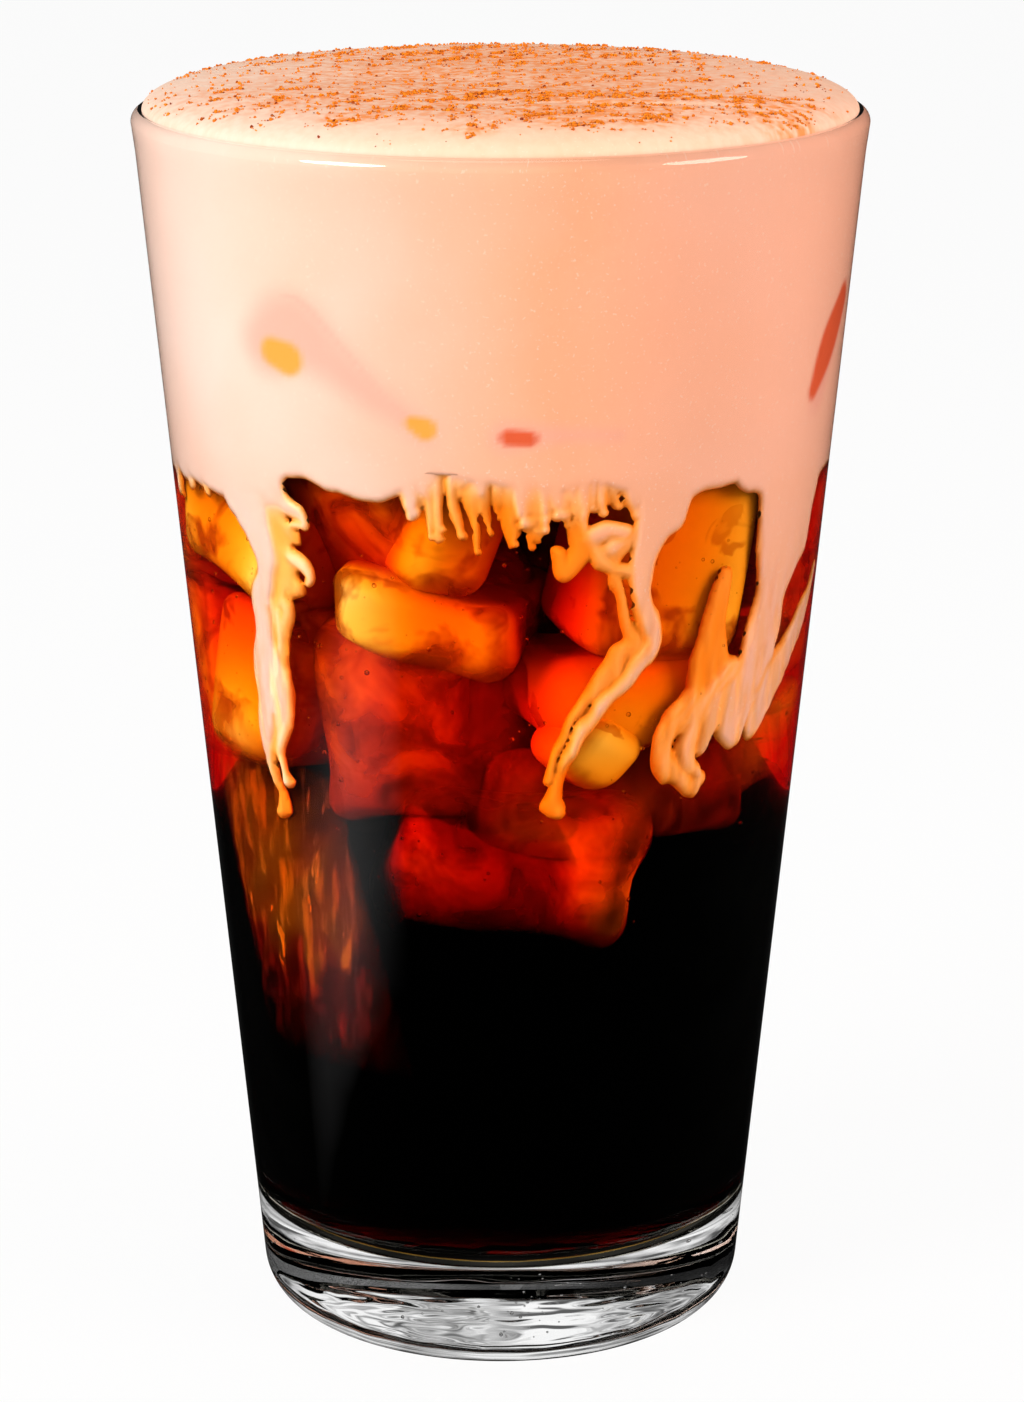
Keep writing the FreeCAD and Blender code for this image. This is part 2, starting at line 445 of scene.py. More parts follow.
def ice_material():
    """Cloudy ice: pale where it is cloudy, redder where it is thinly clouded, and see-through between."""
    material, tree, output = new_material("cloudy_ice")
    shader = principled(tree, Roughness=0.35, IOR=1.31, Specular_IOR_Level=0.0)
    # The cubes' cloud attribute also carries painted shade: less cloud, so darker, towards each cube's
    # bottom.
    amount = maths(tree, "MULTIPLY", patches(tree, 130, 3, (0.38, 0.60), (0.35, 1.5), distortion=0.6),
                   attribute(tree, "cloud_and_shade"))
    amount.node.use_clamp = True
    colour = blended(tree, spread(tree, amount, 0.25, 0.9), (1.0, 0.36, 0.12), (1.0, 0.84, 0.66))
    tree.links.new(colour, shader.inputs["Base Color"])
    tree.links.new(amount, shader.inputs["Alpha"])
    tree.links.new(shader.outputs[0], output.inputs["Surface"])
    return material


# =========================== tumbler ===========================

def lip_swell(z):
    """How far the wall swells towards the lip on each side: a bell round the bead's middle."""
    return (BEAD_RADIUS - WALL_AT_LIP / 2) * np.exp(-((BEAD_Z - z) / 2.2) ** 2)


def tumbler_profile():
    """The tumbler's whole outline, from the middle of its foot out, up, over the lip and down inside.

    Below the lip the wall's two sides stand half a wall each side of its middle line. Near the top
    the half wall swells to the bead's radius, and above the bead's middle it closes as a circle.
    """
    lean = math.degrees(math.atan((RIM_RADIUS - BASE_RADIUS) / (GLASS_HEIGHT - FOOT_CORNER)))
    foot_r = outer_radius(FOOT_CORNER) - FOOT_CORNER / math.cos(math.radians(lean))
    ring_r = foot_r - FOOT_RING_WIDTH
    inner_slope = (inner_radius(BEAD_Z) - inner_radius(BASE_THICKNESS)) / (BEAD_Z - BASE_THICKNESS)
    inner_lean = math.degrees(math.atan(inner_slope))
    corner_z = BASE_THICKNESS + INNER_CORNER
    corner_r = inner_radius(corner_z) - INNER_CORNER / math.cos(math.radians(inner_lean))
    foot = arc((foot_r, FOOT_CORNER), FOOT_CORNER, -90, -lean, 24)
    corner = arc((corner_r, corner_z), INNER_CORNER, -inner_lean, -90, 24)
    z = np.linspace(foot[-1, 1], BEAD_Z, 90)[1:]
    shift = BEAD_R - (outer_radius(BEAD_Z) + inner_radius(BEAD_Z)) / 2
    swell, near = lip_swell(z), shift * np.exp(-((BEAD_Z - z) / 3.0) ** 2)
    outside = np.stack([outer_radius(z) + near + swell, z], axis=1)
    z = np.linspace(BEAD_Z, corner[0, 1], 90)[:-1]
    swell, near = lip_swell(z), shift * np.exp(-((BEAD_Z - z) / 3.0) ** 2)
    inside = np.stack([inner_radius(z) + near - swell, z], axis=1)
    lip = arc((BEAD_R, BEAD_Z), BEAD_RADIUS, 0, 180, 20)[1:-1]
    punt = [(0, PUNT_DEPTH), (ring_r * 0.5, PUNT_DEPTH), (ring_r - 2 * PUNT_DEPTH, PUNT_DEPTH * 0.92),
            (ring_r - PUNT_DEPTH, PUNT_DEPTH * 0.5), (ring_r, 0.0)]
    floor = straight(corner[-1], (0, BASE_THICKNESS), 4)[1:]
    middle = [(0, BASE_THICKNESS)]
    return np.concatenate([punt, foot, outside, lip, inside, corner, floor, middle])


def build_tumbler(material):
    """The tumbler: its profile carried round the axis, with seeds of air closed up in its base.

    A seed is a ball whose faces look inwards. Most lie evenly over the base, and three in ten are
    gathered near one side of the front. The glass is wavy on the underside and a little above it.
    """
    points, faces = closed_rings(turned(tumbler_profile(), ROUND_THE_GLASS))
    rng = np.random.default_rng(31)
    radius = 0.06 + 0.16 * rng.random(AIR_SEEDS) ** 2
    gathered = rng.random(AIR_SEEDS) < 0.3
    degrees = np.where(gathered, rng.normal(8, 4, AIR_SEEDS), rng.uniform(0, 360, AIR_SEEDS))
    from_axis = 26.5 * np.sqrt(rng.uniform(0.3, 1, AIR_SEEDS))
    seeds, sides = hollow_balls(around(from_axis, degrees, rng.uniform(3, 11, AIR_SEEDS)), radius)
    faces = faces + [sides + len(points)]
    points = np.concatenate([points, seeds])
    piece = make_piece("tumbler", points, faces, material, replaces=["glass_tumbler"])
    z = points[:, 2]
    inside = np.hypot(points[:, 0], points[:, 1]) < inner_radius(z) + 0.01
    add_attribute(piece, "dry", 1 - (inside & (z > BASE_THICKNESS - 0.01) & (z < BEAD_Z - 1)))
    add_attribute(piece, "foot", np.where(z < 1.0, 1.0, 0.4 * np.clip((BASE_THICKNESS - 3 - z) / 3, 0, 1)))
    return piece


# =========================== ice ===========================

def rounded_block(size, rounding, seed, steps=7):
    """A block with rounded edges and slightly melted, leaning faces, about its own middle.

    Each side is a grid. A point beyond the flat part of a side is pulled on to a ball of the
    rounding's radius about the nearest point of the inner block. The melt is a sum of five sine
    waves, and the lean is a small random shear.
    """
    bend = np.tan(np.radians(np.linspace(0, 45, 5)))[1:] * rounding
    half = np.array(size) / 2
    grids = []
    for h in half:
        flat = np.linspace(-(h - rounding), h - rounding, steps)
        grids.append(np.concatenate([flat[0] - bend[::-1], flat, flat[-1] + bend]))
    points, quads, start = [], [], 0
    for axis in range(3):
        for side in (-1, 1):
            first, second = (axis + 1) % 3, (axis + 2) % 3
            a, b = np.meshgrid(grids[first], grids[second], indexing="ij")
            face = np.empty(a.shape + (3,))
            face[..., first], face[..., second], face[..., axis] = a, b, side * half[axis]
            index = start + np.arange(a.size).reshape(a.shape)
            corners = [index[:-1, :-1], index[1:, :-1], index[1:, 1:], index[:-1, 1:]]
            quads.append(np.stack(corners[::side], axis=-1).reshape(-1, 4))
            points.append(face.reshape(-1, 3))
            start += a.size
    points, quads = np.concatenate(points), np.concatenate(quads)
    core = np.clip(points, -(half - rounding), half - rounding)
    out = points - core
    out /= np.linalg.norm(out, axis=1, keepdims=True)
    points = core + out * rounding
    _, keep, weld = np.unique(np.round(points, 4), axis=0, return_index=True, return_inverse=True)
    points, out = points[keep], out[keep]
    quads = weld.reshape(-1)[quads]
    rng = np.random.default_rng(seed)
    melt = sum(np.sin(points @ rng.normal(0, 0.2, 3) + rng.uniform(0, 6.28)) for _ in range(5))
    lean = np.eye(3) + rng.uniform(-ICE_LEAN, ICE_LEAN, (3, 3))
    return (points + out * melt[:, None] * ICE_MELT) @ lean, quads


def turn_matrix(tilt):
    """Turns by three angles in degrees, about X, then Y, then Z."""
    x, y, z = np.radians(tilt)
    about_x = np.array([[1, 0, 0], [0, math.cos(x), -math.sin(x)], [0, math.sin(x), math.cos(x)]])
    about_y = np.array([[math.cos(y), 0, math.sin(y)], [0, 1, 0], [-math.sin(y), 0, math.cos(y)]])
    about_z = np.array([[math.cos(z), -math.sin(z), 0], [math.sin(z), math.cos(z), 0], [0, 0, 1]])
    return about_z @ about_y @ about_x


# Each ice cube: the angle from the front, the height of its middle, its clearance from the wall,
# its three sides (across, deep, high), its tilt about the same three lines, and how cloudy it is.
ICE = (
    (-66, 101.0, 0.9, (21, 18, 14), (-6, 9, 4), 1.5),
    (-67, 84.0, 1.1, (17, 14, 22), (0, 5, 8), 1.4),
    (-33, 103.0, 4.0, (19, 17, 18), (6, 4, -14), 1.0),
    (-18, 95.0, 0.9, (21, 18, 11), (14, 16, 8), 1.6),
    (-12, 105.0, 2.4, (10, 14, 14), (0, 10, 24), 2.0),
    (9, 99.5, 9.0, (23, 16, 20), (4, 3, -6), 0.03),
    (40, 101.5, 1.7, (19, 18, 22), (10, 6, -12), 3.0),
    (32, 86.0, 1.9, (19, 15, 12), (12, -5, -14), 4.0),
    (20, 79.0, 1.3, (10, 9, 9), (14, 34, 20), 2.2),
    (14, 71.0, 4.0, (15, 12, 11), (-10, 8, 10), 0.2),
    (0, 60.5, 2.4, (26, 19, 17), (-18, 8, -3), 0.8),
    (48, 73.5, 4.4, (21, 15, 16), (-6, 12, 4), 0.25),
    (-27, 81.0, 4.0, (17, 15, 25), (4, -5, 8), 0.75),
    (-6, 80.0, 8.0, (15, 14, 19), (4, 10, -12), 0.2),
    (78, 93.0, 1.2, (17, 15, 21), (3, 4, 10), 0.6),
    (76, 75.0, 2.2, (15, 14, 14), (4, -8, 0), 0.3),
    (112, 101.0, 0.9, (19, 17, 17), (-4, 5, 4), 0.9),
    (150, 100.0, 0.9, (18, 18, 19), (6, -4, -6), 0.8),
    (188, 101.0, 1.2, (20, 17, 18), (-6, 6, 8), 0.9),
    (226, 98.0, 0.9, (19, 17, 20), (5, 4, -5), 0.9),
    (262, 101.0, 1.0, (18, 16, 16), (-5, -4, 6), 0.8),
    (130, 81.0, 1.6, (19, 16, 18), (5, -6, 4), 0.7),
    (172, 79.5, 1.4, (18, 15, 19), (-4, 5, 12), 0.8),
    (212, 80.5, 2.0, (20, 15, 17), (6, 3, -9), 0.6),
    (261, 81.5, 0.9, (17, 14, 21), (-4, -5, 5), 1.3),
    (150, 62.0, 2.6, (22, 16, 16), (-9, 4, 5), 0.6),
    (200, 61.0, 3.0, (21, 16, 17), (8, -5, -6), 0.6),
)


def ice_blocks():
    """Points, quads and cloudiness, with painted shade, of each ice cube where it lies.

    A cube is tilted about its own middle, turned to face its angle, and pushed out until its
    nearest point is its clearance short of the wall. It is cloudy in the middle of its faces and
    clear along its edges, where the second largest of a point's three shares of the half sides is 1.
    Its cloud also fades towards its bottom, to about an eighth at the lowest point. This is painted
    shade, darker below as if lit from above.
    """
    blocks = []
    for number, (degrees, height, clearance, size, tilt, cloudy) in enumerate(ICE):
        points, quads = rounded_block(size, ICE_ROUNDING, 40 + number)
        share = np.sort(np.abs(points) / (np.array(size) / 2), axis=1)[:, 1]
        cloud_and_shade = cloudy * (1 - 0.75 * np.clip((share - 0.7) / 0.3, 0, 1) ** 2)
        points = points @ turn_matrix(tilt).T
        # Painted shade: the cloud fades towards the cube's bottom, so its lower part shows redder and
        # darker.
        rise = np.clip(points[:, 2] / np.ptp(points[:, 2]) + 0.5, 0, 1)
        cloud_and_shade = cloud_and_shade * (0.12 + 0.88 * rise ** 0.8)
        points = points @ turn_matrix((0, 0, degrees)).T + (0, 0, height)
        outward = np.array([math.sin(math.radians(degrees)), -math.cos(math.radians(degrees)), 0])
        reach = np.linspace(0, 40, 801)
        from_axis = [np.hypot(*(points + outward * r)[:, :2].T) for r in reach]
        gap = np.min(inner_radius(points[:, 2]) - np.array(from_axis), axis=1)
        push = np.interp(-clearance, -gap, reach)
        blocks.append((points + outward * push, quads, cloud_and_shade))
    return blocks


def build_ice(material, blocks):
    """Each cube stands a little inside its hollow, with a cloudier heart two thirds of its size."""
    for number, (points, quads, cloud_and_shade) in enumerate(blocks, 1):
        middle = points.mean(axis=0)
        skin = middle + (points - middle) * ICE_SKIN_SHARE
        heart = middle + (points - middle) * ICE_HEART_SHARE
        piece = make_piece(f"ice_cube_{number}", np.concatenate([skin, heart]),
                           [quads, quads + len(points)], material)
        add_attribute(piece, "cloud_and_shade", np.concatenate([cloud_and_shade, ICE_HEART_CLOUD * cloud_and_shade]))


# =========================== coffee ===========================

def coffee_profile(into_wall, top):
    """The coffee's outline: the space inside the tumbler, grown by into_wall, up to a height."""
    inner_slope = (inner_radius(BEAD_Z) - inner_radius(BASE_THICKNESS)) / (BEAD_Z - BASE_THICKNESS)
    inner_lean = math.degrees(math.atan(inner_slope))
    corner_z = BASE_THICKNESS + INNER_CORNER
    corner_r = inner_radius(corner_z) - INNER_CORNER / math.cos(math.radians(inner_lean))
    corner = arc((corner_r, corner_z), INNER_CORNER + into_wall, -90, -inner_lean, 24)
    z = np.linspace(corner[-1, 1], top, 60)[1:]
    wall = np.stack([inner_radius(z) + into_wall, z], axis=1)
    floor = straight((0, corner[0, 1]), corner[0], 4)
    lid = [(wall[-1, 0] * 0.5, top), (0, top)]
    return np.concatenate([floor, corner, wall, lid])


def air_bubbles():
    """Small bubbles of air on the inside of the glass among the ice, nearly half of them on the wall."""
    rng = np.random.default_rng(61)
    degrees = rng.uniform(0, 360, AIR_BUBBLES)
    z = 56 + 52 * rng.beta(1.6, 1.2, AIR_BUBBLES)
    radius = 0.08 + 0.26 * rng.random(AIR_BUBBLES) ** 4
    on_wall = rng.random(AIR_BUBBLES) < 0.45
    inward = np.where(on_wall, radius + 0.15, rng.uniform(0.3, 0.9, AIR_BUBBLES) + radius)
    return hollow_balls(around(inner_radius(z) - inward, degrees, z), radius)


def build_coffee(material, blocks):
    """The coffee, hollowed where ice and air lie: a hollow's faces look into it.

    The skin is 1 where the coffee bends the view, and 0 round the ice, which lies as if in plain glass.
    """
    points, faces = closed_rings(turned(coffee_profile(COFFEE_INTO_WALL, COFFEE_TOP), ROUND_THE_GLASS))
    skin = np.ones(len(points))
    for block, quads, _ in blocks:
        faces = faces + [quads[:, ::-1] + len(points)]
        points = np.concatenate([points, block])
        skin = np.concatenate([skin, np.zeros(len(block))])
    bubbles, sides = air_bubbles()
    faces = faces + [sides + len(points)]
    points = np.concatenate([points, bubbles])
    skin = np.concatenate([skin, np.ones(len(bubbles))])
    piece = make_piece("coffee", points, faces, material, replaces=["cold_brew"])
    add_attribute(piece, "skin", skin)
    return piece


def build_depths(material):
    """The darkest coffee: a body round the axis that fills the foot and narrows among the ice.

    Its foot is the coffee's own outline, a little smaller, drawn in by a bell near the corner.
    """
    foot = coffee_profile(-DEPTHS_CLEARANCE, DEPTHS_FOOT_TOP)[:-2]
    near_wall = np.clip((foot[:, 0] - 24) / 2, 0, 1)
    foot[:, 0] -= 1.3 * np.exp(-((foot[:, 1] - 20) / 4) ** 2) * near_wall
    heights = (DEPTHS_FOOT_TOP, 55.0, 64.0, 76.0, 90.0, 104.0, 108.0, 109.5)
    radii = (foot[-1, 0], 28.8, 25.5, 21.5, 18.5, 15.5, 9.0, 0.0)
    along = np.linspace(0, len(heights) - 1, 57)[1:]
    steps = range(len(heights))
    rise = np.stack([np.interp(along, steps, radii), np.interp(along, steps, heights)], axis=1)
    points, faces = closed_rings(turned(np.concatenate([foot, rise]), ROUND_THE_GLASS // 2))
    piece = make_piece("coffee_depths", points, faces, material)
    add_attribute(piece, "skin", np.zeros(len(points)))
    return piece


# =========================== cream ===========================

# Where ice touches the glass behind the cream: how soft the mark is, and its middle line with
# angles from the front, heights and half widths.
YELLOW_MARKS = (
    (1.2, ((-40, 125.6, 1.7), (-37, 125.0, 2.0))),
    (0.9, ((-14.5, 118.8, 0.9), (-12.5, 118.2, 1.3))),
)
PINK_MARKS = (
    (4.5, ((-41, 126.5, 3.4), (-36, 128.5, 4.0), (-29, 125.5, 2.6), (-21, 121.5, 1.6), (-13, 118, 1.0))),
    (1.2, ((-38, 132.5, 0.2), (-33, 131.6, 0.6), (-26, 126.8, 0.5), (-19, 121.6, 0.5), (-14, 118.8, 0.7))),
    (2.6, ((1, 117.4, 1.7), (10, 117.6, 0.8), (20, 117.2, 0.5))),
    (3.0, ((77, 127, 1.5), (68, 117.5, 2.0))),
)
RED_MARKS = (
    (0.7, ((1.4, 117.4, 1.0), (4.8, 117.2, 0.9))),
    (1.1, ((77, 128, 2.0), (71, 123.4, 2.7), (66, 118.4, 1.2))),
)

# Heaps of cinnamon on the foam: middle (x, y), half sizes along x and y, and how thick.
CINNAMON_HEAPS = (
    (2, -17, 17, 3.0, 1.4), (20, -16.5, 12, 2.6, 1.5), (31, -24, 3.4, 3.4, 1.6), (-9, -25, 5, 2.2, 0.9),
    (6, -30, 16, 4.0, 0.55), (-24, -22, 8, 4.5, 0.3), (0, 22, 28, 11, 0.42), (0, -4, 30, 8, 0.12),
    (14, -25, 9, 2.4, 0.7), (-16.5, -30.5, 2.6, 2.2, 1.3), (7.5, -33.5, 3.4, 2.4, 1.3),
    (-3, -37.5, 2.4, 1.4, 1.0), (16, -32, 2.4, 2.0, 1.0), (-31, -13, 7, 5, 0.25),
)


def dome_height(x, y):
    """Height of the foam: flat-topped, rounding steeply down to the lip, and gently uneven.

    The rise is one less the eighth power of the share of the way to the lip, to the power of about a
    half. Two crossed swells and one short furrow fade out towards the lip.
    """
    share = np.clip(np.hypot(x, y) / BEAD_R, 0, 1)
    flat = 1 - share ** 4
    swells = (0.16 * np.sin(x / 7.3 + 0.6 * np.sin(y / 6.1) + 0.8)
              + 0.12 * np.sin(y / 3.4 + 1.3 * np.sin(x / 9.7)))
    furrow = 0.35 * np.exp(-((y + 22.5 - 0.03 * x) / 0.7) ** 2) * np.exp(-((x - 18) / 13) ** 2)
    return GLASS_HEIGHT + DOME_RISE * (1 - share ** 8) ** 0.51 * 0.97 + flat * (swells * 0.55 - furrow)


def cinnamon_thickness(x, y):
    """How thickly the cinnamon lies: the sum of its heaps, each fading like a bell."""
    total = 0.025 + 0 * x
    for at_x, at_y, half_x, half_y, thick in CINNAMON_HEAPS:
        total = total + thick * np.exp(-((x - at_x) / half_x) ** 2 - ((y - at_y) / half_y) ** 2)
    return total


def soft_marks(marks, degrees, z):
    """How strongly soft marks on the wall show, from 0 to 1: a smooth step across each outline."""
    total = 0.0 * z
    for soft, line in marks:
        total = np.maximum(total, np.clip(0.5 + reach_of(smooth_line(line), degrees, z) / soft, 0, 1))
    return total ** 2 * (3 - 2 * total)


def build_cream(material):
    """The cream, from its underside out to the wall, up to the lip, and over the dome to the middle.

    It is a stack of rings: flat below, along the inside of the glass, round the bead of the lip, and
    over the dome, where the rings are closest near the lip.
    """
    columns = 360
    degrees = np.arange(columns)[None, :] * 360 / columns
    share = np.linspace(0, 1, 12)[:, None]
    under = around(share * (inner_radius(UNDERSIDE_Z) + CREAM_INTO_WALL), degrees, UNDERSIDE_Z)
    z = np.linspace(UNDERSIDE_Z, BEAD_Z, 80)[1:, None]
    side = around(inner_radius(z) + CREAM_INTO_WALL, degrees, z)
    angle = np.radians(np.linspace(180, 90, 8))[1:-1, None]
    meniscus = around(BEAD_R + (BEAD_RADIUS - 0.15) * np.cos(angle), degrees,
                      BEAD_Z + (BEAD_RADIUS - 0.15) * np.sin(angle))
    r = BEAD_R * np.cos(np.radians(np.linspace(0, 90, 110)))[:, None]
    x, y = r * np.sin(np.radians(degrees)), -r * np.cos(np.radians(degrees))
    dome = np.stack([x, y, dome_height(x, y)], axis=-1)
    points, faces = closed_rings(np.concatenate([under, side, meniscus, dome]))
    piece = make_piece("cream", points, faces, material, replaces=["cream_foam"])
    x, y, z = points.T
    turn = np.degrees(np.arctan2(x, -y))
    on_side = (z > UNDERSIDE_Z) & (z < BEAD_Z - 1)
    for name, marks in (("yellow", YELLOW_MARKS), ("pink", PINK_MARKS), ("red", RED_MARKS)):
        add_attribute(piece, name, on_side * soft_marks(marks, turn, z))
    haze = 0.6 * np.exp(-(x / 30) ** 2 - ((y + 2) / 26) ** 2)
    add_attribute(piece, "dust", (z > GLASS_HEIGHT) * np.clip(cinnamon_thickness(x, y) + haze, 0, 1))
    return piece


def build_cinnamon(material):
    """Grains of cinnamon on the foam, thickest in its heaps and gathered into small clumps.

    Places are drawn evenly over the foam and kept with the chance that the thickness there gives,
    times how deep they lie in a clump, where crossed sine waves of three sizes add up. A grain is a
    ball of 20 sides, squashed and turned at random.
    """
    rng = np.random.default_rng(71)
    r = (BEAD_R - 0.4) * np.sqrt(rng.random(GRAIN_TRIES))
    turn = rng.uniform(0, 2 * np.pi, GRAIN_TRIES)
    x, y = r * np.cos(turn), r * np.sin(turn)
    clump = 0.0
    crossings = 7
    for size, strength in ((5.0, 0.9), (2.2, 1.0), (1.1, 0.8)):
        for _ in range(crossings):
            way = rng.uniform(0, 2 * np.pi)
            wave = 2 * np.pi / (size * rng.uniform(0.7, 1.4))
            along = 0.7 * x * math.cos(way) + y * math.sin(way)
            crossed = np.sin(wave * along + rng.uniform(0, 2 * np.pi))
            clump = clump + strength * crossed / math.sqrt(crossings)
    chance = cinnamon_thickness(x, y) * (0.02 + 1.3 * np.clip(clump - 0.4, 0, 2) ** 1.5)
    kept = rng.random(GRAIN_TRIES) < 0.6 * chance
    x, y = x[kept], y[kept]
    radius = GRAIN_SMALLEST + GRAIN_SPREAD * rng.random(len(x)) ** 2.2
    middles = np.stack([x, y, dome_height(x, y) + GRAIN_SINK * radius], axis=1)
    unit, sides = icosahedron()
    spin = np.linalg.qr(rng.normal(size=(len(x), 3, 3)))[0]
    spin[np.linalg.det(spin) < 0] *= -1
    shape = unit[None] * rng.uniform(0.55, 1.35, (len(x), 1, 3))
    points = middles[:, None] + np.einsum("nij,nkj->nki", spin, shape) * radius[:, None, None]
    faces = (sides[None] + len(unit) * np.arange(len(x))[:, None, None]).reshape(-1, 3)
    piece = make_piece("cinnamon", points.reshape(-1, 3), [faces], material, flat=True)
    add_attribute(piece, "tone", np.repeat(rng.random(len(x)), len(unit)))
    return piece


# =========================== cream on the wall ===========================

# Streams of cream lying on the inside of the glass. Each strand is how far it has sunk behind a film
# of coffee, then the points of its middle line: angle from the front, height, half its width there.
STREAMS = (
    # The long straight one at the left, with its folded edge and three curls.
    (0.0, ((-50, 114, 7), (-49, 109, 5.4), (-46.5, 105, 3.5), (-45, 101, 3.3), (-46, 98, 2.8),
           (-48, 96, 2.1), (-49, 92, 2.0), (-49.5, 88, 2.4), (-50, 84, 2.3), (-51, 79, 1.6), (-51, 76, 1.1),
           (-50.5, 73, 0.7))),
    (0.2, ((-45, 97, 1.2), (-45, 93, 0.8), (-45, 90, 0.8), (-46, 87, 1.5), (-46, 84, 1.7), (-47, 80, 1.2),
           (-48, 77, 0.8), (-47, 75, 0.7), (-47, 73.4, 0.9))),
    (0.9, ((-51, 76, 0.5), (-50.5, 73, 0.6), (-50, 70.5, 0.8), (-50, 69.3, 1.0))),
    (0.2, ((-45, 110.5, 2.6), (-42, 108, 1.6), (-38.5, 107.0, 1.0), (-36.8, 105.7, 0.7), (-39, 105.2, 0.5))),
    (0.6, ((-45, 106.5, 2.2), (-42, 105.2, 1.5), (-39.6, 104.4, 0.9), (-38.8, 103.2, 0.5))),
    (0.3, ((-45, 102.5, 2.2), (-42, 101.5, 1.8), (-38.5, 100.6, 1.2), (-36.8, 99.2, 0.8),
           (-37.6, 98.2, 0.5))),
    (0.7, ((-45, 98.8, 2.2), (-41.5, 97.6, 1.6), (-39.8, 97.0, 0.9), (-41.5, 96.2, 0.6))),
    (0.5, ((-46, 96, 1.6), (-43.5, 95.4, 1.3), (-42.4, 94.2, 0.9), (-44, 92.3, 0.9), (-45, 90.5, 0.8))),
    (0.9, ((-46, 108, 2.6), (-44, 104, 3.0), (-43.5, 100, 2.8), (-45, 96, 1.8))),
    # The one right of the middle, which bends back to the left as it sinks.
    (0.1, ((29, 114, 6), (29, 109, 4.0), (27.5, 106.5, 2.9), (26.5, 103, 2.1), (26, 98.5, 1.4),
           (28, 95, 1.6), (28.7, 92.5, 1.4), (27, 90.3, 1.4), (24.5, 88, 1.3), (21, 85.6, 1.1),
           (17, 82.6, 0.9), (14.5, 80, 0.8), (12.5, 77.8, 0.8))),
    (1.0, ((12.5, 77.8, 0.8), (11, 75.4, 1.0), (10.5, 73.4, 1.3), (11.2, 72.3, 1.3))),
    (0.7, ((22, 105, 1.4), (20.5, 101.5, 0.7), (21.5, 98, 0.8), (23.5, 95, 0.8), (25, 92.5, 1.0),
           (22.5, 90.8, 1.4), (20, 88, 1.3), (16.5, 85.3, 0.9), (13, 82, 0.7), (10.5, 78.6, 0.6),
           (9, 76, 0.6))),
    (0.2, ((16.5, 105.4, 1.4), (19, 106.0, 1.3), (21.5, 105.2, 1.4), (20, 103.9, 1.3))),
    (1.1, ((13, 106.5, 1.2), (14.2, 104, 1.4), (13, 102, 1.4), (11, 101.5, 1.3), (10.6, 103.2, 0.9))),
    (0.5, ((16, 104.4, 1.0), (18, 102.6, 1.1), (20, 101.6, 0.9), (23.5, 100.6, 0.9))),
    # The broad one at the right, a sheet that gathers into folds.
    (0.1, ((63, 114, 9), (63.5, 106, 7.2), (63, 101.5, 6.3), (60.5, 98, 4.6), (59, 95, 3.7), (58.5, 91, 3.5),
           (56.5, 87, 3.9), (53, 83.6, 3.7), (50.5, 80.5, 3.1), (50.5, 78.4, 1.9))),
    (0.1, ((82, 95, 0.9), (78, 91.5, 1.5), (73, 88.8, 2.3), (68, 86.4, 2.6), (63, 83.8, 2.6), (60, 81, 2.2),
           (57.5, 78.6, 1.4))),
    (1.0, ((46, 98.5, 1.2), (44.4, 95, 2.0), (43.6, 91.5, 2.5), (43.8, 88, 2.6), (41.5, 85.3, 1.8))),
    (0.5, ((41.5, 85.3, 1.6), (38, 83.6, 1.7), (35.2, 81.6, 1.7), (33.6, 79, 1.6), (34.8, 76.4, 1.5),
           (37.7, 74.5, 1.4), (41, 73.2, 1.3), (44, 73.9, 1.0))),
    (0.3, ((47, 86.5, 2.2), (43, 84, 1.8), (40, 81.3, 1.5), (38.8, 78.3, 1.3), (40, 75.9, 1.2),
           (42.5, 74.6, 1.0))),
    (0.2, ((50, 84.5, 2.8), (46, 81.6, 2.3), (43.3, 79.6, 1.5), (42.4, 77.6, 1.0))),
)

# Creases between the folds, where coffee shows through: half their width, then their middle lines.
CREASES = (
    (0.5, ((-46.7, 94.5), (-46.4, 91.5), (-45, 89), (-43.6, 87.4))),
    (0.5, ((-48.2, 81), (-48.9, 78.4))),
    (0.5, ((-48.9, 78.4), (-48.5, 76), (-48.6, 72))),
    (0.6, ((24.3, 97.5), (25.6, 94.2), (27.2, 91.8), (25, 89.6), (21, 87), (17, 84))),
    (0.5, ((19.5, 105.4), (21.2, 104.9), (22.6, 105.8), (22.9, 107.3), (19, 107.9), (15.5, 107.4))),
    (0.55, ((43, 87), (40.4, 84.4), (37, 82.2), (35.6, 79), (37, 76), (40.5, 74.2))),
    (0.55, ((47.5, 87), (44.5, 84.4), (41.2, 81.6), (40, 79), (41, 76.6), (42.8, 75.3))),
    (0.5, ((41.6, 86), (37, 84), (33.6, 81.2), (32.2, 79))),
    (0.55, ((51.8, 90), (50, 86.5), (46.6, 84.6))),
    (0.5, ((66.5, 88.4), (61.5, 86.2), (57.3, 83.2))),
)

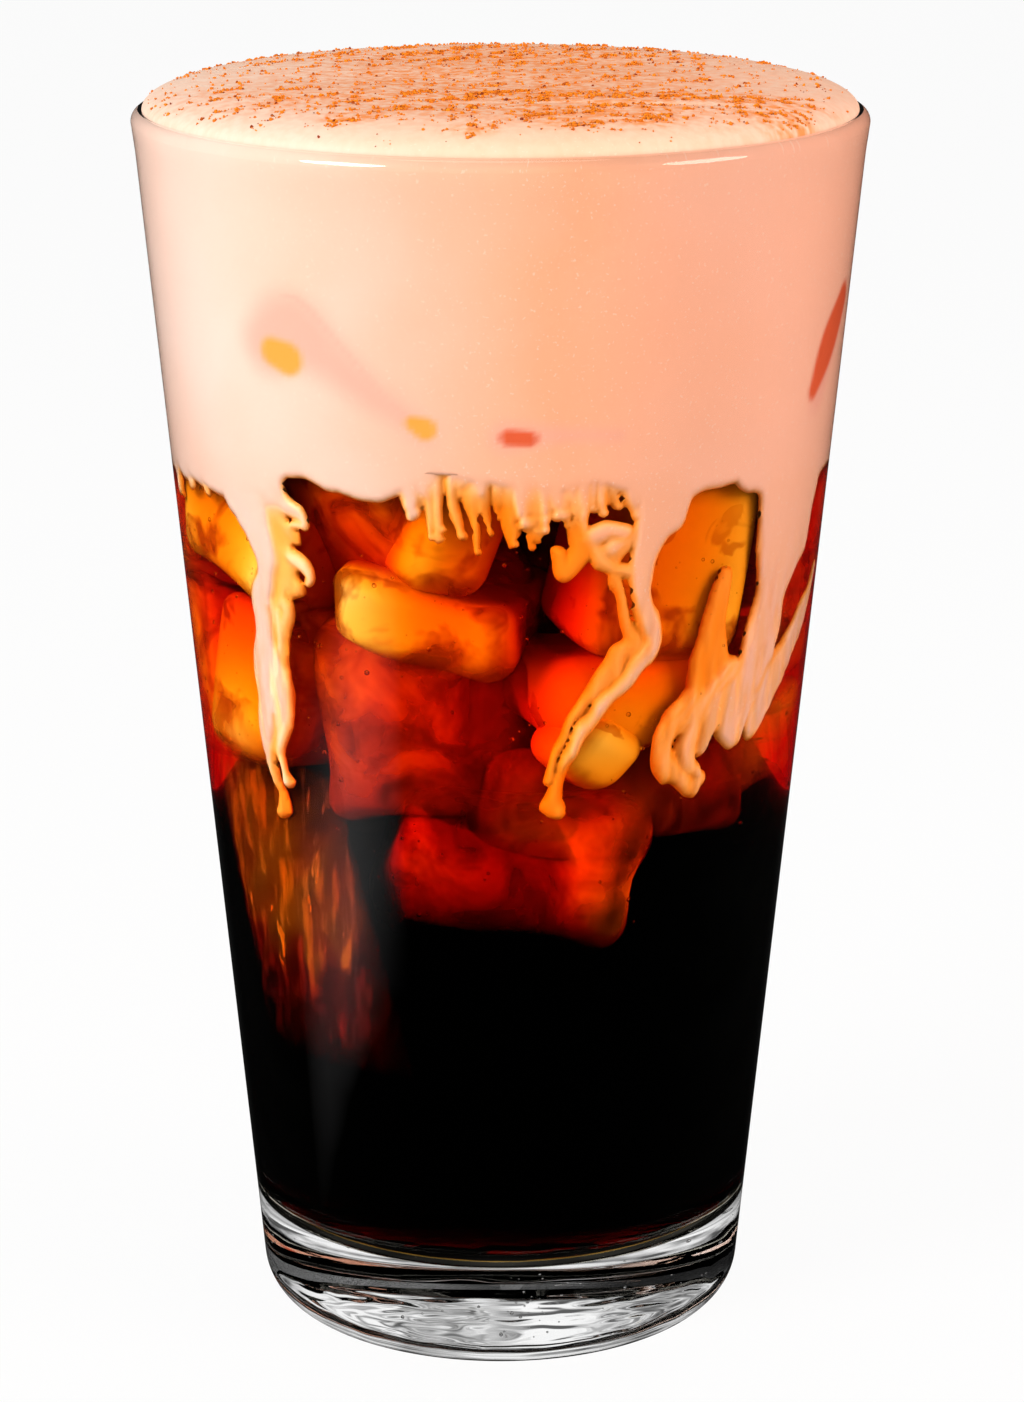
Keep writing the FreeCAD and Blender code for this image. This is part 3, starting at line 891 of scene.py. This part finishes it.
# The cream's lower edge round the wall, and its fingers: angle, height of the tip, half width, sunk.
CREAM_EDGE = (
    (-85, 106.5), (-75, 107.2), (-67, 106.5), (-57, 106.9), (-50, 106), (-43, 109), (-39, 110.8),
    (-30, 109.6), (-22, 109.2), (-17, 110.7), (-11, 111.6), (-6, 112), (-1, 111.8), (8, 110.6), (16, 111),
    (24, 109.6),
    (33, 108.8), (38, 109.6), (44, 109.5), (48, 107.5), (56, 106), (75, 106.5), (90, 107.5),
)
FINGERS = (
    (-15.6, 107.4, 0.9, 0.0), (-13.2, 109.2, 1.3, 0.2), (-11, 109.2, 0.9, 0.5), (-3.4, 110.2, 1.1, 0.3),
    (2.0, 105.2, 0.8, 1.2), (1.0, 104.0, 0.4, 1.5), (4.6, 105.8, 1.3, 0.1), (6.4, 105.2, 0.8, 0.5),
    (8.0, 105.4, 0.7, 0.0), (5.2, 103.6, 0.5, 1.2), (10.2, 107.0, 1.0, 0.2), (12.3, 107.8, 0.8, 0.5),
    (14.4, 104.2, 0.8, 0.1), (16.6, 108.2, 0.5, 0.5), (18.2, 107.6, 0.6, 0.1), (20.4, 108.4, 0.5, 0.3),
    (23.4, 107.0, 0.9, 0.1), (-71, 105.6, 1.0, 0.4), (-79, 104.2, 1.4, 0.3), (-64, 105.8, 0.8, 0.5),
)


def smooth_line(points, step=0.3):
    """A smooth line through points, a cubic between each two that leans along their neighbours."""
    points = np.asarray(points, float)
    ends = np.concatenate([2 * points[:1] - points[1:2], points, 2 * points[-1:] - points[-2:-1]])
    parts = []
    for a, b, c, d in zip(ends, ends[1:], ends[2:], ends[3:]):
        t = np.arange(0, 1, step / (abs(c[1] - b[1]) + 0.64 * abs(c[0] - b[0]) + 0.1))[:, None]
        parts.append(b + (c - a) / 2 * t + (a - 2.5 * b + 2 * c - d / 2) * t ** 2
                     + (1.5 * (b - c) + (d - a) / 2) * t ** 3)
    return np.concatenate(parts + [points[-1:]])


def reach_of(line, degrees, z):
    """How deep each place on the wall lies inside a line's width, in millimetres, -9 where far off."""
    depth = np.full(degrees.shape, -9.0)
    turn = (degrees - line[:, 0].mean() + 180) % 360 - 180 + line[:, 0].mean()
    near = ((turn > line[:, 0].min() - 16) & (turn < line[:, 0].max() + 16)
            & (z > line[:, 1].min() - 8) & (z < line[:, 1].max() + 8))
    across = (turn[near][:, None] - line[:, 0]) * np.radians(inner_radius(z[near]))[:, None]
    away = np.hypot(across, z[near][:, None] - line[:, 1])
    depth[near] = np.max(line[:, 2] - away, axis=1)
    return depth


def turned_copy(points):
    """The same line at the back of the glass, where the streams are repeated a little higher."""
    return [(point[0] * 0.94 + 177, point[1] * 0.93 + 8, *point[2:]) for point in points]


def wall_cream(degrees, z):
    """Depth inside the cream on the wall, how far it has sunk from the glass, and its creases.

    The cream is whatever lies above its edge or within a strand. Where strands meet, each counts for
    how far it has sunk by the exponential of its depth, so that one runs softly into the other.
    """
    rng = np.random.default_rng(11)
    edge = np.array(CREAM_EDGE + tuple((a, 109 + rng.uniform(-1.6, 1.6)) for a in range(102, 272, 11)))
    edge = np.interp(degrees, edge[:, 0], edge[:, 1], period=360)
    edge = edge + 0.35 * waves(degrees, 0 * z, 12, 7)
    depth = z - edge
    total = np.exp(np.clip(depth, -6, 3) / MEETING_SOFTNESS)
    sunk = 0.0 * z
    strands = [(sink, line) for sink, line in STREAMS]
    strands += [(sink, turned_copy(line)) for sink, line in STREAMS]
    at_back = np.arange(95, 268, 4.0) + rng.uniform(-1.5, 1.5, 44)
    back = [(a, rng.uniform(103.5, 108.5), rng.uniform(0.6, 1.4), rng.uniform(0, 0.6)) for a in at_back]
    fringe_front = np.concatenate([np.arange(-17, 25, 1.25), np.arange(-82, -58, 2.6)])
    fringe = [(a, 110 - 6.5 * rng.random() ** 1.6, rng.uniform(0.3, 0.65), rng.uniform(0, 1.3))
              for a in fringe_front + rng.uniform(-0.5, 0.5, 44)]
    for angle, tip, half, sink in FINGERS + tuple(back) + tuple(fringe):
        root = (angle - 0.6, 114, half * 1.7), (angle - 0.2, (114 + 2 * tip) / 3, half * 1.15)
        drop = (angle, tip + half * 1.8, half * 0.75), (angle + 0.2, tip + half, half)
        strands.append((sink, root + drop))
    for sink, line in strands:
        own = reach_of(smooth_line(line), degrees, z)
        part = np.exp(np.clip(own, -6, 3) / MEETING_SOFTNESS)
        sunk = sunk + part * sink
        total = total + part
        depth = np.maximum(depth, own)
    crease = 0.0 * z
    creases = list(CREASES) + [(half, turned_copy(line)) for half, line in CREASES]
    for half, line in creases:
        line = smooth_line([(*point, 0.0) for point in line])
        crease = np.maximum(crease, np.exp(-(reach_of(line, degrees, z) / half) ** 2))
    return depth, sunk / total * np.clip((113 - z) / 4, 0, 1), crease * np.clip((111 - z) / 3, 0, 1)


def wall_sheet(name, shape, low, high, cell, thickness, material):
    """A sheet of cream on the wall, cut to shape and closed all round.

    shape gives, at an angle and a height, the depth inside the outline, how far the sheet has sunk
    from the glass, and its creases. Points of an even grid that lie within half a cell of the outline
    are moved on to it along the steepest line. The glass side is pressed into the wall, and near the
    outline and in creases it curls away. The back stands off by the root of the depth, up to the
    thickness, and meets the glass side at the outline.
    """
    columns = int(2 * math.pi * inner_radius((low + high) / 2) / cell)
    rows = int((high - low) / cell)
    degrees, z = np.meshgrid(np.arange(columns) * 360 / columns, np.linspace(low, high, rows), indexing="xy")
    wobble_a = 0.55 * waves(degrees, z, 21, 11) + 0.30 * waves(degrees, z * 0.6, 22, 4.0)
    wobble_z = 0.35 * waves(degrees, z, 23, 12)

    whole, sunk, crease = shape(degrees + wobble_a, z + wobble_z)
    depth = np.where(z < low + 2 * cell, -9.0, np.minimum(whole, high - z))
    across = np.radians(inner_radius(z)) * 360 / columns
    slope_a = (np.roll(depth, -1, axis=1) - np.roll(depth, 1, axis=1)) / (2 * across)
    slope_z = np.gradient(depth, z[1, 0] - z[0, 0], axis=0)
    steep = np.maximum(slope_a ** 2 + slope_z ** 2, 0.3)
    snapped = np.abs(depth) < 0.55 * cell * np.sqrt(np.minimum(steep, 1.0))
    degrees = degrees - np.where(snapped, depth * slope_a / steep / np.radians(inner_radius(z)), 0)
    z = z - np.where(snapped, depth * slope_z / steep, 0)
    depth = np.where(snapped, 0.0, depth)
    thin = 1 - np.clip(np.where(depth > 0, whole, depth) / 1.0, 0, 1)
    top = 1 - np.clip((high - z) / 6.0, 0, 1)
    lower = np.clip((106 - z) / 22, 0, 1)
    folds = 0.32 * lower * np.clip(0.3 + 0.8 * waves(degrees, z * 0.35, 24, 3.2), 0, 1)
    into = (VEIL_INTO_WALL - (0.6 + 0.25 * lower) * thin ** 2 - np.maximum(0.15 * crease, sunk) - folds
            - 0.13 * top)
    back = into - np.minimum(thickness, np.sqrt(2 * thickness * np.maximum(depth, 0)))
    here = np.arange(depth.size).reshape(depth.shape)
    corners = np.stack([here[:-1], np.roll(here, -1, 1)[:-1], np.roll(here, -1, 1)[1:], here[1:]], axis=-1)
    corners = corners.reshape(-1, 4)
    inside = depth.ravel()[corners]
    solid = corners[(inside >= 0).all(axis=1) & (inside > 0).any(axis=1)]
    cut = []
    for corner in range(4):
        rest = [(corner + k) % 4 for k in (1, 2, 3)]
        others = inside[:, rest]
        chosen = (inside[:, corner] < 0) & (others >= 0).all(axis=1) & (others > 0).any(axis=1)
        cut.append(corners[chosen][:, rest])
    cut = np.concatenate(cut)
    behind = np.where(depth.ravel() > 0, here.ravel() + depth.size, here.ravel())
    points = np.concatenate([around(inner_radius(z) + into, degrees, z).reshape(-1, 3),
                             around(inner_radius(z) + back, degrees, z).reshape(-1, 3)])
    faces = [solid, cut, behind[solid][:, ::-1], behind[cut][:, ::-1]]
    used, faces = without_spares(faces, len(points))
    piece = make_piece(name, points[used], faces, material)
    tint = np.maximum(thin ** 2, np.maximum(crease, np.clip(sunk, 0, 1))).ravel()
    add_attribute(piece, "thin", np.concatenate([tint, tint])[used])
    stream = np.clip((104 - z.ravel()) / 26, 0, 1)
    add_attribute(piece, "stream", np.concatenate([stream, stream])[used])
    return piece


# =========================== wisps of cream deep in the coffee ===========================

def wisp_material():
    """Thin wisps of cream: see-through but for upright streaks and a few bright flecks."""
    material, tree, output = new_material("cream_wisps")
    shader = principled(tree, Base_Color=(0.85, 0.33, 0.11, 1), Roughness=0.6, IOR=1.33,
                        Specular_IOR_Level=0.0)
    streaks = patches(tree, 620, 3, (0.52, 0.66), (0.0, 0.30), stretch=(1, 1, 0.13))
    clouds = patches(tree, 75, 3, (0.40, 0.68), (0.02, 0.10), stretch=(1, 1, 0.5))
    flecks = patches(tree, 700, 2, (0.66, 0.70), (0.0, 0.5), stretch=(1, 1, 0.25))
    amount = maths(tree, "ADD", maths(tree, "MAXIMUM", streaks, flecks), clouds)
    tree.links.new(maths(tree, "MULTIPLY", amount, attribute(tree, "amount")), shader.inputs["Alpha"])
    tree.links.new(shader.outputs[0], output.inputs["Surface"])
    return material


def build_wisps(material):
    """A thin closed leaf behind the wall at the lower left, leaning and fading to nothing all round.

    Rows run down and to the right. The amount is a bell across the leaf times a bell down it.
    """
    across = np.linspace(-1, 1, WISP_CELLS)[None, :]
    down = np.linspace(-1, 1, WISP_CELLS)[:, None]
    z = 56 - 19 * down + 0 * across
    degrees = -53 + 24 * across + 8 * down
    amount = np.clip(1 - np.abs(across) ** 3, 0, 1) * np.clip(1 - np.abs(down) ** 2.5, 0, 1)
    front = inner_radius(z) - 1.7 - 1.4 * (1 - amount) - 0.35 * waves(degrees, z, 41, 6)
    here = np.arange(z.size).reshape(z.shape)
    rim = np.ones(z.shape, bool)
    rim[1:-1, 1:-1] = False
    back = np.where(rim, here, here + z.size)
    points = np.concatenate([around(front, degrees, z).reshape(-1, 3),
                             around(front - WISP_THICKNESS * ~rim, degrees, z).reshape(-1, 3)])
    corners = [np.stack([grid[:-1, :-1], grid[1:, :-1], grid[1:, 1:], grid[:-1, 1:]], axis=-1).reshape(-1, 4)
               for grid in (here, back)]
    used, (outer, inner) = without_spares(corners, len(points))
    piece = make_piece("cream_wisps", points[used], [outer, inner[:, ::-1]], material)
    add_attribute(piece, "amount", np.concatenate([amount.ravel()] * 2)[used])


# =========================== room ===========================

def build_camera():
    """The camera in front, a little above the lip, tilted down."""
    camera = bpy.data.objects.new("camera", bpy.data.cameras.new("camera"))
    bpy.context.scene.collection.objects.link(camera)
    camera.location = CAMERA_PLACE
    camera.rotation_euler = (math.radians(90 - CAMERA_TILT_DOWN), 0, 0)
    camera.data.lens = CAMERA_LENS
    camera.data.sensor_width = 36
    camera.data.shift_x = CAMERA_SHIFT
    bpy.context.scene.camera = camera


def build_lamp(name, place, aim, size, power, colour):
    """A round soft lamp that shines from place to aim, and is itself seen only as a mirror image."""
    lamp = bpy.data.objects.new(name, bpy.data.lights.new(name, "AREA"))
    bpy.context.scene.collection.objects.link(lamp)
    lamp.data.shape = "DISK"
    lamp.data.size = size
    lamp.data.energy = power
    lamp.data.color = colour
    lamp.location = place
    lamp.rotation_euler = (Vector(aim) - Vector(place)).to_track_quat("-Z", "Y").to_euler()
    lamp.visible_camera = False
    lamp.visible_transmission = False


def build_world():
    """The white room, at half strength as light.

    The camera sees it white. Rays through glass see it white with soft grey patches. Mirrored rays see
    it nearly black, paler at the back, with one bright upright strip low at the left.
    """
    world = bpy.data.worlds.new("studio")
    bpy.context.scene.world = world
    world.use_nodes = True
    tree = world.node_tree
    tree.nodes.clear()
    path = tree.nodes.new("ShaderNodeLightPath").outputs
    place = tree.nodes.new("ShaderNodeTexCoord").outputs["Generated"]
    split = node(tree, "SeparateXYZ")
    tree.links.new(place, split.inputs[0])
    x, y, z = split.outputs

    behind = spread(tree, y, 0.80, 1.0)
    behind.node.interpolation_type = "SMOOTHSTEP"
    strip = maths(tree, "MULTIPLY", spread(tree, x, -0.93, -0.80), spread(tree, x, -0.80, -0.55, 1.0, 0.0))
    for edge in (spread(tree, y, -0.1, 0.1, 0.6, 0.0), spread(tree, z, -0.49, -0.46),
                 spread(tree, z, -0.43, -0.40, 1.0, 0.0)):
        strip = maths(tree, "MULTIPLY", strip, edge)
    mirrored = maths(tree, "ADD", maths(tree, "MULTIPLY_ADD", behind, 0.014, 0.002), strip)
    mirrored = maths(tree, "MULTIPLY", path["Is Glossy Ray"], mirrored)

    turn = node(tree, "Mapping", Scale=(1, 1, 2.2))
    clouds = node(tree, "TexNoise", Scale=3.4, Detail=3)
    tree.links.new(place, turn.inputs["Vector"])
    tree.links.new(turn.outputs["Vector"], clouds.inputs["Vector"])
    bent, spread_light = path["Is Transmission Ray"], path["Diffuse Depth"]
    through = maths(tree, "MULTIPLY", bent, maths(tree, "LESS_THAN", spread_light, 0.5))
    through = maths(tree, "MULTIPLY", through, spread(tree, clouds.outputs["Fac"], 0.38, 0.62, 0.12, 1.0))
    lit_from = maths(tree, "MULTIPLY", bent, maths(tree, "GREATER_THAN", spread_light, 0.5))

    soft = maths(tree, "MULTIPLY", maths(tree, "SUBTRACT", 1.0, path["Is Glossy Ray"]), 0.5)
    soft = maths(tree, "MULTIPLY", soft, maths(tree, "SUBTRACT", 1.0, lit_from))
    seen = maths(tree, "MAXIMUM", path["Is Camera Ray"], through)
    strength = maths(tree, "MAXIMUM", maths(tree, "MAXIMUM", seen, mirrored), soft)
    back = node(tree, "Background", Color=(1, 1, 1, 1))
    tree.links.new(strength, back.inputs["Strength"])
    tree.links.new(back.outputs[0], tree.nodes.new("ShaderNodeOutputWorld").inputs["Surface"])


def floor_material():
    """A pale floor. The camera sees it nearly white, and it keeps a little of the drink's shadow.

    Rays through glass see it grey near the foot, a painted shadow of the drink, and paler further off,
    with long soft streaks in that painted shade, and dimmed where they were mirrored first.
    """
    material, tree, output = new_material("pale_floor")
    shader = principled(tree, Base_Color=(0.85, 0.85, 0.85, 1), Roughness=0.7)
    path = tree.nodes.new("ShaderNodeLightPath").outputs
    white = tree.nodes.new("ShaderNodeEmission").outputs[0]
    share = maths(tree, "MULTIPLY", path["Is Camera Ray"], 0.93)
    plain = mixed_shaders(tree, share, shader.outputs[0], white)
    away = tree.nodes.new("ShaderNodeVectorMath")
    away.operation = "LENGTH"
    tree.links.new(tree.nodes.new("ShaderNodeTexCoord").outputs["Object"], away.inputs[0])
    # Painted shadow seen through the glass: grey near the foot, paler further off, broken by long soft
    # streaks.
    streaks = patches(tree, 60, 2, (0.35, 0.65), (-0.28, 0.42), stretch=(1, 0.12, 1))
    shade = maths(tree, "ADD", spread(tree, away.outputs["Value"], 0.02, 0.16, 0.30, 0.95), streaks)
    shade = maths(tree, "MAXIMUM", shade, 0.06)
    grey = tree.nodes.new("ShaderNodeEmission")
    unmirrored = spread(tree, path["Glossy Depth"], 0, 1, 1.0, 0.05)
    tree.links.new(maths(tree, "MULTIPLY", shade, unmirrored), grey.inputs["Strength"])
    seen = mixed_shaders(tree, path["Is Transmission Ray"], plain, grey.outputs[0])
    tree.links.new(seen, output.inputs["Surface"])
    return material


def build_floor():
    """A flat floor 6 m square, unseen by mirrored rays."""
    mesh = bpy.data.meshes.new("floor")
    mesh.from_pydata([(-3, -3, 0), (3, -3, 0), (3, 3, 0), (-3, 3, 0)], [], [(0, 1, 2, 3)])
    mesh.materials.append(floor_material())
    floor = bpy.data.objects.new("floor", mesh)
    bpy.context.scene.collection.objects.link(floor)
    floor.visible_glossy = False


def set_light_paths():
    """Enough bounces for glass round coffee round ice, and plain display of colours."""
    cycles = bpy.context.scene.cycles
    cycles.max_bounces = 7
    cycles.diffuse_bounces = 1
    cycles.transmission_bounces = 7
    cycles.transparent_max_bounces = 10
    bpy.context.scene.view_settings.view_transform = "Standard"


PATCHES = patches_group()
CREAM = cream_material()
BLOCKS = ice_blocks()
build_tumbler(glass_material())
build_coffee(liquid_material("cold_brew_coffee", 1.33, (0.990, 0.765, 0.0), 850.0), BLOCKS)
build_depths(liquid_material("undiluted_coffee", 1.0, (0.667, 0.0, 0.0), 800.0))
build_ice(ice_material(), BLOCKS)
build_cream(CREAM)
build_cinnamon(cinnamon_material())
wall_sheet("cream_streams", wall_cream, STREAM_LOW, STREAM_HIGH, STREAM_CELL, STREAM_THICKNESS, CREAM)
build_wisps(wisp_material())

build_world()
build_lamp("key", (-0.75, -0.62, 0.55), (0, 0, 0.1), 0.5, 9, (1, 1, 1))
build_lamp("fill", (0.83, -0.38, 0.4), (0, 0, 0.1), 0.5, 5.8, (1, 0.84, 0.76))
build_lamp("overhead", (0, 0.15, 0.9), (0, 0, 0.15), 0.4, 0.7, (1, 0.88, 0.74))
build_floor()
build_camera()
set_light_paths()
